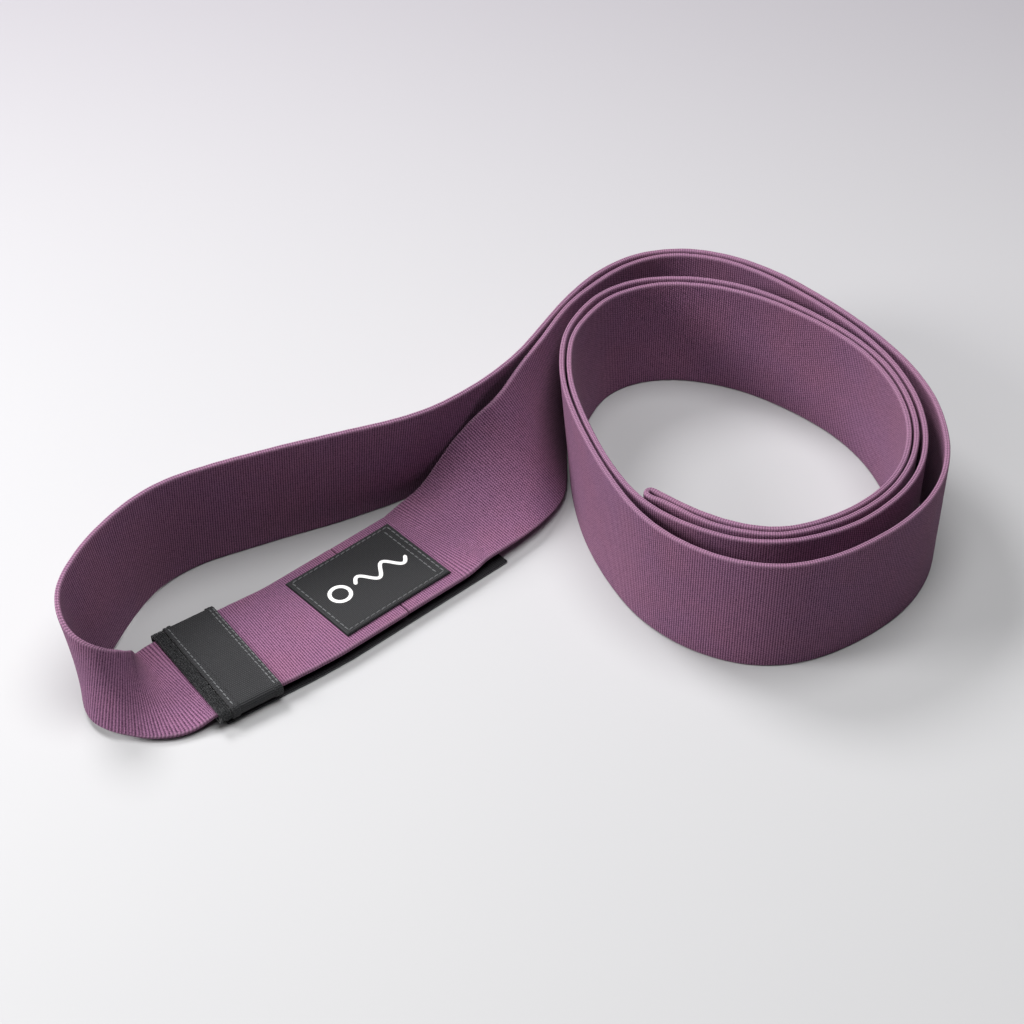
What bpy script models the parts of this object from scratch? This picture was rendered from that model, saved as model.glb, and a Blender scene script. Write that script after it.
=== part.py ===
"""Closed-loop elastic stretching strap, wound into an open coil with one hand loop left out.

Units are metres, +Z is up and the floor is z = 0.  The webbing is one strip whose ends butt
under the label, on top of a black backing strip.  A black keeper sleeve slides along the
straight run between the hand loop and the label.
"""
import math

import bmesh
import bpy
import numpy as np
from mathutils import Matrix, Vector

MM = 0.001

# ---- driving dimensions, in millimetres -------------------------------------------------
STRAP_WIDTH = 50.0
STRAP_THICK = 2.2
NECKING = 0.07           # the elastic narrows by this share where it is pulled flat and twisted
GATHER = 0.24            # it gathers by this much more where it stands up out of the keeper
GATHER_AT = 114.0        # travel at the middle of the gather
GATHER_REACH = 42.0      # and how far it spreads either side
NECK_START = (150.0, 230.0)        # the narrowing fades out between these lengths of travel
NECK_END = (45.0, 110.0)           # and fades in between these lengths before the joint
JOINT_GAP = 0.6          # between the two butted ends of the strip
CLEAR = 0.3              # air left between pieces that touch on the real strap

LABEL_CENTRE = (-54.0, -45.0, 5.4)     # middle of the label, on the strap's mid-plane
LABEL_HEADING = 222.5                  # degrees, from the label towards the keeper
LABEL_STRAIGHT = 27.0                  # straight length either side of the label's middle
KEEPER_CENTRE = (-105.0, -86.7, 5.4)   # middle of the keeper, on the strap's mid-plane
KEEPER_HEADING = 216.0                 # the run bends a little in its own plane
KEEPER_STRAIGHT = (-24.0, 17.0)        # straight from and to, along the travel
RUN_LEAN = 90.0                        # degrees between the strap's width and the vertical

LABEL_LENGTH = 50.0
LABEL_WIDTH = 37.0
LABEL_THICK = 0.9
LABEL_INSET = 1.8        # stitch line in from the label's edge
LABEL_ROW_GAP = 2.6      # second row in from the first, at the coil end

MOTIF_THICK = 0.4
MOTIF_LINE = 1.6
MOTIF_WAVE_LENGTH = 24.0
MOTIF_SWING = 3.0
MOTIF_SHIFT = 6.0        # wave's middle, from the label's middle towards the coil
MOTIF_RING = 4.0         # middle radius
MOTIF_RING_AT = 13.5     # ring's middle, from the label's middle towards the keeper

BACKING_THICK = 1.2
BACKING_WIDTH = 46.5
BACKING_TAIL = 49.0      # how far it reaches past the label's middle towards the coil
BACKING_HEAD = 12.0      # how far it reaches past the keeper's middle
BACKING_SHIFT = -0.6     # it sits a little towards the near edge

KEEPER_LENGTH = 21.0
KEEPER_WALL = 1.0
KEEPER_CLEAR = 0.5       # above and below the strap
KEEPER_SIDE_CLEAR = 1.1  # beyond the strap's two edges
KEEPER_RIM = 0.35        # raised hem along the sleeve's two mouths
KEEPER_HEM = 3.2         # length of each hem
PILE_LENGTH = 4.5
PILE_WALL = 1.1

JOINT_ROW_AT = 3.0       # stitch rows either side of the butted ends
THREAD = 0.35                      # sewing thread radius
STITCH = 2.6                       # stitch pitch

# Centre line of the webbing after the straight run: x, y, height of the mid-line (mm) and lean
# of the width away from vertical (degrees, positive towards the right of travel).
UPRIGHT = 25.3
HAND_LOOP = [
    (-123.2, -101.0, 5.2, 85.0),
    (-127.6, -105.0, 7.4, 72.0),
    (-133.2, -109.2, 12.0, 45.0),
    (-138.4, -111.6, 15.8, 22.0),
    (-144.2, -111.2, 18.0, 8.0),
    (-149.8, -107.2, 19.6, -1.0),
    (-154.2, -99.8, 21.2, -6.0),
    (-155.2, -90.0, 22.4, -9.0),
    (-152.2, -79.0, 23.6, -10.0),
    (-148.0, -68.0, 24.4, -9.0),
    (-142.0, -56.0, 25.0, -5.0),
    (-132.5, -42.5, UPRIGHT, 0.0),
    (-118.5, -31.5, UPRIGHT, 4.0),
]
BACK_RUN = [
    (-102.0, -23.5, UPRIGHT, 5.0),
    (-86.0, -16.5, UPRIGHT, 6.0),
    (-70.0, -10.0, UPRIGHT, 7.0),
    (-55.0, -3.5, UPRIGHT, 9.0),
    (-41.0, 3.5, 25.1, 11.0),
    (-28.8, 11.9, 25.0, 12.0),
    (-16.5, 20.8, 25.1, 9.0),
    (-5.6, 30.9, UPRIGHT, 6.0),
    (4.2, 43.0, UPRIGHT, 3.0),
    (12.2, 56.0, UPRIGHT, 1.0),
]
OUTER_TURN = [
    (20.0, 69.5, UPRIGHT, 0.0),
    (28.0, 82.0, UPRIGHT, 0.0),
    (38.0, 93.5, UPRIGHT, 0.0),
    (51.0, 102.5, UPRIGHT, 0.0),
    (66.0, 106.5, UPRIGHT, 0.0),
    (80.0, 105.5, UPRIGHT, 0.0),
    (94.0, 100.0, UPRIGHT, 0.0),
    (108.0, 90.5, UPRIGHT, 0.0),
    (122.0, 77.0, UPRIGHT, 0.0),
    (135.5, 61.0, UPRIGHT, 0.0),
    (147.0, 44.0, UPRIGHT, 0.0),
    (156.0, 26.0, UPRIGHT, 0.0),
    (161.0, 9.0, UPRIGHT, 0.0),
    (162.5, -7.0, UPRIGHT, 0.0),
    (161.5, -22.0, UPRIGHT, 0.0),
    (158.0, -35.0, UPRIGHT, 0.0),
    (150.5, -49.0, UPRIGHT, 0.0),
    (140.0, -61.0, UPRIGHT, 0.0),
    (128.0, -70.5, UPRIGHT, 0.0),
    (114.0, -78.5, UPRIGHT, 0.0),
    (99.0, -83.0, UPRIGHT, 0.0),
    (84.0, -82.5, UPRIGHT, 0.0),
    (70.0, -77.5, UPRIGHT, 0.0),
    (57.5, -69.0, UPRIGHT, 0.0),
    (47.0, -57.5, UPRIGHT, 0.0),
    (39.0, -43.5, UPRIGHT, 0.0),
    (32.5, -28.0, UPRIGHT, 0.0),
    (27.5, -12.0, UPRIGHT, -1.0),
]
SECOND_TURN = [
    (24.0, 4.0, UPRIGHT, -3.0),
    (22.0, 20.0, UPRIGHT, -5.0),
    (22.0, 36.0, UPRIGHT, -6.0),
    (23.5, 50.0, UPRIGHT, -5.0),
    (28.5, 64.0, UPRIGHT, -3.0),
    (37.0, 76.5, UPRIGHT, -1.0),
    (48.0, 84.0, UPRIGHT, 0.0),
    (60.0, 87.0, UPRIGHT, 0.0),
    (73.0, 87.0, UPRIGHT, 0.0),
    (87.0, 84.0, UPRIGHT, 0.0),
    (101.0, 77.5, UPRIGHT, 0.0),
    (114.0, 68.5, UPRIGHT, 0.0),
    (126.5, 57.0, UPRIGHT, 0.0),
    (138.0, 43.0, UPRIGHT, 0.0),
    (146.5, 27.0, UPRIGHT, 0.0),
    (151.0, 10.0, UPRIGHT, 0.0),
    (152.0, -6.0, UPRIGHT, 0.0),
    (149.5, -21.0, UPRIGHT, 0.0),
    (143.5, -35.0, UPRIGHT, 0.0),
    (134.0, -47.5, UPRIGHT, 0.0),
    (121.5, -57.5, UPRIGHT, 0.0),
    (108.0, -64.0, UPRIGHT, 0.0),
    (94.0, -67.0, UPRIGHT, 0.0),
    (79.0, -64.5, UPRIGHT, 0.0),
    (65.0, -57.5, UPRIGHT, 0.0),
]
FOLD = [
    (53.0, -48.6, UPRIGHT, 0.0),
    (49.9, -46.6, UPRIGHT, 0.0),
    (48.8, -44.6, UPRIGHT, 0.0),
    (49.9, -43.2, UPRIGHT, 0.0),
    (52.4, -44.2, UPRIGHT, 0.0),
]
INNER_TURN = [
    (66.5, -54.8, UPRIGHT, 0.0),
    (80.0, -61.5, UPRIGHT, 0.0),
    (94.0, -64.2, UPRIGHT, 0.0),
    (107.5, -61.3, UPRIGHT, 0.0),
    (120.0, -55.0, UPRIGHT, 0.0),
    (132.0, -45.5, UPRIGHT, 0.0),
    (141.0, -34.0, UPRIGHT, 0.0),
    (146.8, -20.5, UPRIGHT, 0.0),
    (149.2, -6.0, UPRIGHT, 0.0),
    (148.2, 9.5, UPRIGHT, 0.0),
    (143.5, 26.0, UPRIGHT, 0.0),
    (135.0, 42.0, UPRIGHT, 0.0),
    (124.0, 55.0, UPRIGHT, 0.0),
    (112.0, 65.5, UPRIGHT, 0.0),
    (99.5, 74.0, UPRIGHT, 0.0),
    (86.0, 80.0, UPRIGHT, 0.0),
    (73.0, 83.0, UPRIGHT, 0.0),
    (60.5, 83.0, UPRIGHT, 0.0),
    (49.0, 79.5, UPRIGHT, 0.0),
    (39.0, 72.5, UPRIGHT, 1.0),
    (31.5, 61.5, UPRIGHT, 3.0),
    (26.5, 49.0, UPRIGHT, 5.0),
    (24.9, 35.5, UPRIGHT, 6.0),
    (24.9, 20.0, UPRIGHT, 5.0),
    (26.8, 5.0, UPRIGHT, 3.0),
    (30.3, -11.0, UPRIGHT, 1.0),
]
THIRD_TURN = [
    (35.2, -26.5, UPRIGHT, 0.0),
    (42.0, -41.0, UPRIGHT, 0.0),
    (51.0, -53.0, UPRIGHT, 0.0),
    (63.0, -62.0, UPRIGHT, 0.0),
    (78.0, -69.0, UPRIGHT, 0.0),
    (94.0, -71.0, UPRIGHT, 0.0),
    (110.0, -67.5, UPRIGHT, 0.0),
    (124.5, -60.5, UPRIGHT, 0.0),
    (137.0, -50.0, UPRIGHT, 0.0),
    (147.0, -37.0, UPRIGHT, 0.0),
    (153.0, -22.0, UPRIGHT, 0.0),
    (155.2, -6.0, UPRIGHT, 0.0),
    (154.0, 11.0, UPRIGHT, 0.0),
    (149.5, 28.0, UPRIGHT, 0.0),
    (141.5, 45.0, UPRIGHT, 0.0),
    (130.5, 61.0, UPRIGHT, 0.0),
    (118.0, 75.5, UPRIGHT, 0.0),
    (105.0, 88.0, UPRIGHT, 0.0),
    (92.0, 97.0, UPRIGHT, 0.0),
    (79.0, 102.0, UPRIGHT, 0.0),
    (66.0, 103.2, UPRIGHT, 0.0),
    (53.0, 99.5, UPRIGHT, 0.0),
    (41.0, 91.0, UPRIGHT, 0.0),
    (31.5, 80.0, UPRIGHT, 1.0),
]
TWIST = [
    (24.0, 67.0, UPRIGHT, 5.0),
    (17.5, 49.0, 25.1, 11.0),
    (11.5, 30.0, 23.8, 23.0),
    (5.0, 12.5, 20.9, 38.0),
    (-4.2, 2.4, 16.0, 56.0),
    (-12.4, -5.0, 11.0, 74.0),
    (-20.0, -12.0, 7.6, 86.0),
    (-27.5, -19.2, 6.0, 90.0),
]


# ---- the flat run and its two straight parts --------------------------------------------
def unit(v):
    v = np.asarray(v, float)
    return v / np.linalg.norm(v)


class Flat:
    """A straight, level part of the run with its own axes."""

    def __init__(self, centre, heading):
        angle = math.radians(heading)
        self.centre = np.array(centre)
        self.along = np.array([math.cos(angle), math.sin(angle), 0.0])
        self.across = np.array([math.sin(angle), -math.cos(angle), 0.0])
        self.up = np.array([0.0, 0.0, 1.0])

    def point(self, s, v=0.0, h=0.0):
        """s along the travel, v across it towards the far edge and h above the mid-plane."""
        return self.centre + s * self.along + v * self.across + h * self.up

    def station(self, s):
        return np.r_[self.point(s), RUN_LEAN]


LABEL = Flat(LABEL_CENTRE, LABEL_HEADING)
KEEPER = Flat(KEEPER_CENTRE, KEEPER_HEADING)


# ---- the centre line --------------------------------------------------------------------
def clamped_spline(points, first, last):
    """Cubic spline through points with given end slopes; returns knots, points and slopes."""
    points = np.asarray(points, float)
    knots = np.r_[0.0, np.cumsum(np.linalg.norm(np.diff(points[:, :3], axis=0), axis=1))]
    count = len(points)
    step = np.diff(knots)
    lhs = np.eye(count)
    rhs = np.zeros_like(points)
    rhs[0] = first
    rhs[-1] = last
    for i in range(1, count - 1):
        before = step[i - 1]
        after = step[i]
        lhs[i, i - 1] = after
        lhs[i, i] = 2.0 * (before + after)
        lhs[i, i + 1] = before
        rhs[i] = 3.0 * (after * (points[i] - points[i - 1]) / before
                        + before * (points[i + 1] - points[i]) / after)
    return knots, points, np.linalg.solve(lhs, rhs)


def spline_at(spline, where):
    knots, points, slopes = spline
    i = np.clip(np.searchsorted(knots, where, side="right") - 1, 0, len(knots) - 2)
    span = (knots[i + 1] - knots[i])[:, None]
    t = (where - knots[i])[:, None] / span
    a = 2 * t ** 3 - 3 * t ** 2 + 1
    b = t ** 3 - 2 * t ** 2 + t
    c = -2 * t ** 3 + 3 * t ** 2
    d = t ** 3 - t ** 2
    return a * points[i] + b * span * slopes[i] + c * points[i + 1] + d * span * slopes[i + 1]


def strap_line(turn_step=9.0, longest=12.0):
    """Stations of the webbing's centre line: x, y, z and lean, closer together in tight bends."""
    start = [LABEL.station(LABEL_STRAIGHT)]
    end = [LABEL.station(-LABEL_STRAIGHT)]
    keeper = [KEEPER.station(s) for s in np.linspace(*KEEPER_STRAIGHT, 8)]
    route = (HAND_LOOP + BACK_RUN + OUTER_TURN + SECOND_TURN + FOLD
             + INNER_TURN + THIRD_TURN + TWIST)
    points = np.vstack([start, keeper, np.array(route), end])
    along = np.r_[LABEL.along, 0.0]
    spline = clamped_spline(points, along, along)
    fine = np.linspace(0.0, spline[0][-1], 12001)
    line = spline_at(spline, fine)
    heading = np.unwrap(np.arctan2(*np.gradient(line[:, 1::-1], axis=0).T))
    effort = (np.abs(np.gradient(heading)) / math.radians(turn_step)
              + np.abs(np.gradient(line[:, 3])) / turn_step
              + np.gradient(fine) / longest)
    effort = np.cumsum(effort)
    count = int(effort[-1]) + 2
    picks = np.interp(np.linspace(effort[0], effort[-1], count), effort, fine)
    picks[0] = fine[0]
    picks[-1] = fine[-1]
    middle = spline_at(spline, picks)
    first = LABEL.station(JOINT_GAP / 2)
    last = LABEL.station(-JOINT_GAP / 2)
    return np.vstack([first, middle, last])


def smooth(t):
    t = np.clip(t, 0.0, 1.0)
    return t * t * (3.0 - 2.0 * t)


def strap_half_widths(line):
    """Half the webbing's width at every station."""
    steps = np.linalg.norm(np.diff(line[:, :3], axis=0), axis=1)
    travel = np.r_[0.0, np.cumsum(steps)]
    left = travel[-1] - travel
    start = 1.0 - smooth((travel - NECK_START[0]) / (NECK_START[1] - NECK_START[0]))
    end = 1.0 - smooth((left - NECK_END[0]) / (NECK_END[1] - NECK_END[0]))
    gather = np.cos(np.clip((travel - GATHER_AT) / GATHER_REACH, -1.0, 1.0) * math.pi / 2) ** 2
    return STRAP_WIDTH / 2 * (1.0 - NECKING * np.maximum(start, end) - GATHER * gather)


def strap_frames(line):
    """Unit width and face vectors at every station of the centre line."""
    centre = line[:, :3]
    before = np.vstack([centre[:1], centre[:-1]])
    after = np.vstack([centre[1:], centre[-1:]])
    tangent = (after - centre) / np.maximum(np.linalg.norm(after - centre, axis=1), 1e-9)[:, None]
    tangent += (centre - before) / np.maximum(np.linalg.norm(centre - before, axis=1), 1e-9)[:, None]
    tangent /= np.linalg.norm(tangent, axis=1)[:, None]
    flat = tangent * [1.0, 1.0, 0.0]
    flat /= np.linalg.norm(flat, axis=1)[:, None]
    right = np.c_[flat[:, 1], -flat[:, 0], np.zeros(len(flat))]
    lean = np.radians(line[:, 3])[:, None]
    width = np.cos(lean) * np.array([0.0, 0.0, 1.0]) + np.sin(lean) * right
    width -= (width * tangent).sum(1)[:, None] * tangent
    width /= np.linalg.norm(width, axis=1)[:, None]
    face = np.cross(tangent, width)
    return width, face, tangent


# ---- building the pieces ----------------------------------------------------------------
def loft(rings, closed=False):
    """Vertices and faces of a skin over rings of points, capped unless it closes on itself."""
    size = len(rings[0])
    count = len(rings)
    verts = [tuple(p) for ring in rings for p in ring]
    faces = []
    for i in range(count if closed else count - 1):
        a = i * size
        b = ((i + 1) % count) * size
        for j in range(size):
            k = (j + 1) % size
            faces.append((a + j, a + k, b + k, b + j))
    if not closed:
        faces.append(tuple(range(size)))
        faces.append(tuple(range((count - 1) * size, count * size)))
    return verts, faces


def ribbon(centres, widths, faces, half_widths, thick):
    """A flat strip of rectangular section swept along its centre line."""
    rings = []
    for c, w, f, half in zip(centres, widths, faces, half_widths):
        rings.append([c - half * w - thick / 2 * f, c + half * w - thick / 2 * f,
                      c + half * w + thick / 2 * f, c - half * w + thick / 2 * f])
    return loft(rings)


def slab(flat, length, width, low, high):
    """A box on one of the run's straight parts, between two heights above the mid-plane."""
    corners = ((-1, -1), (1, -1), (1, 1), (-1, 1))
    rings = [[flat.point(a * length / 2, b * width / 2, h) for a, b in corners]
             for h in (low, high)]
    return loft(rings)


def rounded(half_w, half_h, radius, steps=3):
    """A rounded rectangle of (v, h) points."""
    loop = []
    for turn, (a, b) in enumerate(((1, 1), (-1, 1), (-1, -1), (1, -1))):
        for k in range(steps + 1):
            angle = math.radians(90.0 * (turn + k / steps))
            loop.append((a * (half_w - radius) + radius * math.cos(angle),
                         b * (half_h - radius) + radius * math.sin(angle)))
    return loop


def sleeve(flat, profile, inner_w, inner_h):
    """A tube round the strap; profile is (s, wall) along the outside, then back inside."""
    rings = []
    for s, wall in profile:
        rings.append([flat.point(s, v, h)
                      for v, h in rounded(inner_w + wall, inner_h + wall, 0.6 + wall)])
    for s in (profile[-1][0], profile[0][0]):
        rings.append([flat.point(s, v, h) for v, h in rounded(inner_w, inner_h, 0.6)])
    return loft(rings, closed=True)


def thread(path, normal, closed=False):
    """One sewing thread along a path: long stitches on top, short dips between them."""
    rings = []
    count = len(path)
    for i, p in enumerate(path):
        ahead = path[(i + 1) % count] if closed else path[min(i + 1, count - 1)]
        behind = path[i - 1] if closed else path[max(i - 1, 0)]
        side = unit(np.cross(unit(ahead - behind), normal))
        lift = THREAD * (0.15 if i % 2 else -0.15) * normal
        rings.append([p + lift + THREAD * (math.cos(a) * side + math.sin(a) * normal)
                      for a in (0.0, math.pi / 2, math.pi, 1.5 * math.pi)])
    return loft(rings, closed)


def stitch_points(corners, closed=False):
    """Points half a stitch apart along straight rows between the corners."""
    points = []
    ends = corners + corners[:1] if closed else corners
    for a, b in zip(ends[:-1], ends[1:]):
        count = 2 * max(1, round(np.linalg.norm(b - a) / STITCH))
        for k in range(count):
            points.append(a + (b - a) * k / count)
    if not closed:
        points.append(ends[-1])
    return points


def paint(name, colour, rough, sheen=0.0):
    material = bpy.data.materials.new(name)
    material.use_nodes = True
    shader = material.node_tree.nodes["Principled BSDF"]
    shader.inputs["Base Color"].default_value = (*colour, 1.0)
    shader.inputs["Roughness"].default_value = rough
    shader.inputs["Sheen Weight"].default_value = sheen
    material.diffuse_color = (*colour, 1.0)
    return material


def add_piece(name, shape, material, shift, origin=None):
    """One named solid; shape is in millimetres on the route's axes."""
    verts, faces = shape
    home = np.zeros(3) if origin is None else (np.asarray(origin) + shift) * MM
    mesh = bpy.data.meshes.new(name)
    bm = bmesh.new()
    made = [bm.verts.new(Vector((np.asarray(v) + shift) * MM - home)) for v in verts]
    for face in faces:
        bm.faces.new([made[i] for i in face])
    bmesh.ops.recalc_face_normals(bm, faces=bm.faces)
    bm.to_mesh(mesh)
    bm.free()
    mesh.shade_smooth()
    mesh.set_sharp_from_angle(angle=math.radians(35.0))
    mesh.materials.append(material)
    piece = bpy.data.objects.new(name, mesh)
    piece.matrix_world = Matrix.Translation(Vector(home))
    bpy.context.scene.collection.objects.link(piece)
    return piece


def backing_shape():
    """A flat strip on the floor under the whole run."""
    stations = [LABEL.point(-BACKING_TAIL), LABEL.point(0.0), LABEL.point(LABEL_STRAIGHT),
                KEEPER.point(KEEPER_STRAIGHT[0]), KEEPER.point(0.0), KEEPER.point(BACKING_HEAD)]
    floor = np.array([1.0, 1.0, 0.0])
    middle = [p * floor + [0.0, 0.0, CLEAR + BACKING_THICK / 2] for p in stations]
    sides = [LABEL.across] * 3 + [KEEPER.across] * 3
    middle = [p + BACKING_SHIFT * side for p, side in zip(middle, sides)]
    up = [np.array([0.0, 0.0, 1.0])] * len(middle)
    return ribbon(middle, sides, up, [BACKING_WIDTH / 2] * len(middle), BACKING_THICK)


def label_threads(top):
    """The stitch line round the label and the second row at its coil end."""
    a = LABEL_LENGTH / 2 - LABEL_INSET
    b = LABEL_WIDTH / 2 - LABEL_INSET
    height = top + CLEAR + 1.2 * THREAD
    corners = [LABEL.point(s, v, height) for s, v in ((-a, -b), (a, -b), (a, b), (-a, b))]
    ring = thread(stitch_points(corners, closed=True), LABEL.up, closed=True)
    row = [LABEL.point(-a + LABEL_ROW_GAP, v, height) for v in (-b + 1.5, b - 1.5)]
    return ring, thread(stitch_points(row), LABEL.up)


def motif_shapes(top):
    """A plain wavy line and a plain ring, both flat and lightly raised."""
    middle = top + CLEAR + MOTIF_THICK / 2
    centres = []
    sides = []
    for k in range(37):
        t = k / 36.0
        s = MOTIF_WAVE_LENGTH * (0.5 - t) - MOTIF_SHIFT
        swing = 4.0 * math.pi * t
        centres.append(LABEL.point(s, MOTIF_SWING * math.sin(swing), middle))
        slope = -MOTIF_SWING * 4.0 * math.pi / MOTIF_WAVE_LENGTH * math.cos(swing)
        sides.append(unit(LABEL.across - slope * LABEL.along))
    ups = [LABEL.up] * len(centres)
    wave = ribbon(centres, sides, ups, [MOTIF_LINE / 2] * len(centres), MOTIF_THICK)
    rings = []
    for k in range(32):
        angle = 2.0 * math.pi * k / 32
        ring = []
        for radius, h in ((-1, -1), (1, -1), (1, 1), (-1, 1)):
            reach = MOTIF_RING + radius * MOTIF_LINE / 2
            ring.append(LABEL.point(MOTIF_RING_AT + reach * math.cos(angle),
                                    reach * math.sin(angle), middle + h * MOTIF_THICK / 2))
        rings.append(ring)
    return wave, loft(rings, closed=True)


def keeper_shapes():
    """The sleeve, its pile edge and the stitch rows across its top."""
    half = KEEPER_LENGTH / 2
    inner_w = STRAP_WIDTH / 2 * (1.0 - NECKING) + KEEPER_SIDE_CLEAR
    inner_h = STRAP_THICK / 2 + KEEPER_CLEAR
    hem = KEEPER_WALL + KEEPER_RIM
    inside = half - KEEPER_HEM
    profile = [(-half, hem), (-inside, hem), (-inside + 0.4, KEEPER_WALL),
               (inside - 0.4, KEEPER_WALL), (inside, hem), (half, hem)]
    tube = sleeve(KEEPER, profile, inner_w, inner_h)
    start = half + CLEAR
    pile = sleeve(KEEPER, [(start, PILE_WALL), (start + PILE_LENGTH, PILE_WALL)],
                  inner_w, inner_h)
    top = inner_h + hem + CLEAR + 1.2 * THREAD
    reach = inner_w - 1.0
    rows = []
    for s in (-half + 0.8, -half + 2.2, half - 1.5):
        rows.append(thread(stitch_points([KEEPER.point(s, v, top) for v in (-reach, reach)]),
                           KEEPER.up))
    return tube, pile, rows


def joint_rows():
    """The two stitch rows on the underside of the strap, either side of the butted ends."""
    depth = -(STRAP_THICK / 2 + CLEAR + 1.2 * THREAD)
    reach = STRAP_WIDTH / 2 * (1.0 - NECKING) - 2.0
    down = -LABEL.up
    return [thread(stitch_points([LABEL.point(s, v, depth) for v in (-reach, reach)]), down)
            for s in (JOINT_ROW_AT, -JOINT_ROW_AT)]


def build():
    for old in list(bpy.data.objects):
        bpy.data.objects.remove(old, do_unlink=True)

    purple = paint("purple_webbing", (0.27, 0.13, 0.22), 0.85, 0.3)
    black = paint("black_backing", (0.012, 0.012, 0.014), 0.8)
    patch = paint("black_label", (0.02, 0.02, 0.023), 0.7)
    cloth = paint("black_keeper", (0.022, 0.022, 0.025), 0.75)
    pile = paint("black_pile", (0.015, 0.015, 0.017), 0.95, 0.4)
    dark_thread = paint("grey_thread", (0.06, 0.06, 0.065), 0.6)
    plum_thread = paint("plum_thread", (0.2, 0.1, 0.17), 0.6)
    white = paint("white_print", (0.8, 0.8, 0.78), 0.6)

    line = strap_line()
    width, face, _ = strap_frames(line)
    webbing = ribbon(line[:, :3], width, face, strap_half_widths(line), STRAP_THICK)
    backing = backing_shape()
    everything = np.array(webbing[0] + backing[0])
    low = everything.min(axis=0)
    high = everything.max(axis=0)
    shift = -np.array([(low[0] + high[0]) / 2, (low[1] + high[1]) / 2, low[2]])

    label_low = STRAP_THICK / 2 + CLEAR
    label_top = label_low + LABEL_THICK
    ring, row = label_threads(label_top)
    wave, circle = motif_shapes(label_top)
    left, right = joint_rows()
    tube, pile_edge, rows = keeper_shapes()

    add_piece("strap_webbing", webbing, purple, shift)
    add_piece("backing_strip", backing, black, shift)
    label = slab(LABEL, LABEL_LENGTH, LABEL_WIDTH, label_low, label_top)
    add_piece("label_patch", label, patch, shift)
    add_piece("label_stitch_perimeter", ring, dark_thread, shift)
    add_piece("label_stitch_end_row", row, dark_thread, shift)
    add_piece("label_motif_wave", wave, white, shift)
    add_piece("label_motif_ring", circle, white, shift)
    add_piece("joint_stitch_keeper_side", left, plum_thread, shift)
    add_piece("joint_stitch_coil_side", right, plum_thread, shift)
    add_piece("keeper_sleeve", tube, cloth, shift, KEEPER.centre)
    add_piece("keeper_pile_edge", pile_edge, pile, shift, KEEPER.centre)
    names = ("keeper_hem_row_outer", "keeper_hem_row_inner", "keeper_far_row")
    for name, shape in zip(names, rows):
        add_piece(name, shape, dark_thread, shift, KEEPER.centre)


build()
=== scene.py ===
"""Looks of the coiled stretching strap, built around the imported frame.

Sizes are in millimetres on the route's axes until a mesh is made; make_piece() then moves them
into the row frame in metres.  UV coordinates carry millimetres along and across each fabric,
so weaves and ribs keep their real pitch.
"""

import math

import bmesh
import bpy
import numpy as np
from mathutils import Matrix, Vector


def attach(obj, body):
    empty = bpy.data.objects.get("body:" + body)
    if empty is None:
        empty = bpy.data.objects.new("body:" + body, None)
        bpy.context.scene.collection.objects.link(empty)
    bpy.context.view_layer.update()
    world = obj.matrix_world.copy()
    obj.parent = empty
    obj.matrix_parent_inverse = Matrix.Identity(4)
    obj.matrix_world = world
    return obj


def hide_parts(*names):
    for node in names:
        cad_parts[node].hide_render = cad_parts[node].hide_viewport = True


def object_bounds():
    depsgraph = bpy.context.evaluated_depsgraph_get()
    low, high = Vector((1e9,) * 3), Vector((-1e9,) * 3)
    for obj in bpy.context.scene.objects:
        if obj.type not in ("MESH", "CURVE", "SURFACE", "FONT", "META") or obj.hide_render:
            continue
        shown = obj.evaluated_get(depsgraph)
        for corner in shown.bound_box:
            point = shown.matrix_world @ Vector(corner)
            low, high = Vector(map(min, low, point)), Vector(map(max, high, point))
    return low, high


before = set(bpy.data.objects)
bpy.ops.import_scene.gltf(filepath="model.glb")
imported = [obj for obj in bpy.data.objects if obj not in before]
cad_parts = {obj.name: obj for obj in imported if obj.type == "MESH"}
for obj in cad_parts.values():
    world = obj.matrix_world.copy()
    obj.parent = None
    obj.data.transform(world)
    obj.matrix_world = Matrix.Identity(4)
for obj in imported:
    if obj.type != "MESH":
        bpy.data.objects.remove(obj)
cad_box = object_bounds()

MM = 0.001

# ---- driving dimensions, in millimetres, as in the CAD part ------------------------------
STRAP_WIDTH = 50.0
STRAP_THICK = 2.2
NECKING = 0.07
GATHER = 0.24            # it gathers by this much more where it stands up out of the keeper
GATHER_AT = 114.0        # travel at the middle of the gather
GATHER_REACH = 42.0      # and how far it spreads either side
NECK_START = (150.0, 230.0)
NECK_END = (45.0, 110.0)
JOINT_GAP = 0.6

LABEL_CENTRE = (-54.0, -45.0, 5.4)
LABEL_HEADING = 222.5
LABEL_STRAIGHT = 27.0
KEEPER_CENTRE = (-105.0, -86.7, 5.4)
KEEPER_HEADING = 216.0
KEEPER_STRAIGHT = (-24.0, 17.0)
RUN_LEAN = 90.0

LABEL_LENGTH = 50.0
LABEL_WIDTH = 37.0
LABEL_THICK = 0.9
LABEL_INSET = 1.8
LABEL_ROW_GAP = 2.6
LABEL_LOW = 1.3          # underside above the strap's mid-plane

MOTIF_LINE = 1.6
MOTIF_WAVE_LENGTH = 24.0
MOTIF_SWING = 3.0
MOTIF_SHIFT = 6.0
MOTIF_RING = 4.0
MOTIF_RING_AT = 13.5

BACKING_THICK = 1.2
BACKING_WIDTH = 46.5
BACKING_TAIL = 49.0
BACKING_HEAD = 12.0
BACKING_SHIFT = -0.6
BACKING_LOW = 0.3

KEEPER_LENGTH = 21.0
KEEPER_WALL = 1.0
KEEPER_CLEAR = 0.5
KEEPER_SIDE_CLEAR = 1.1
KEEPER_RIM = 0.35
KEEPER_HEM = 3.2
PILE_LENGTH = 4.5
PILE_WALL = 1.1
PIECE_GAP = 0.3

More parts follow.
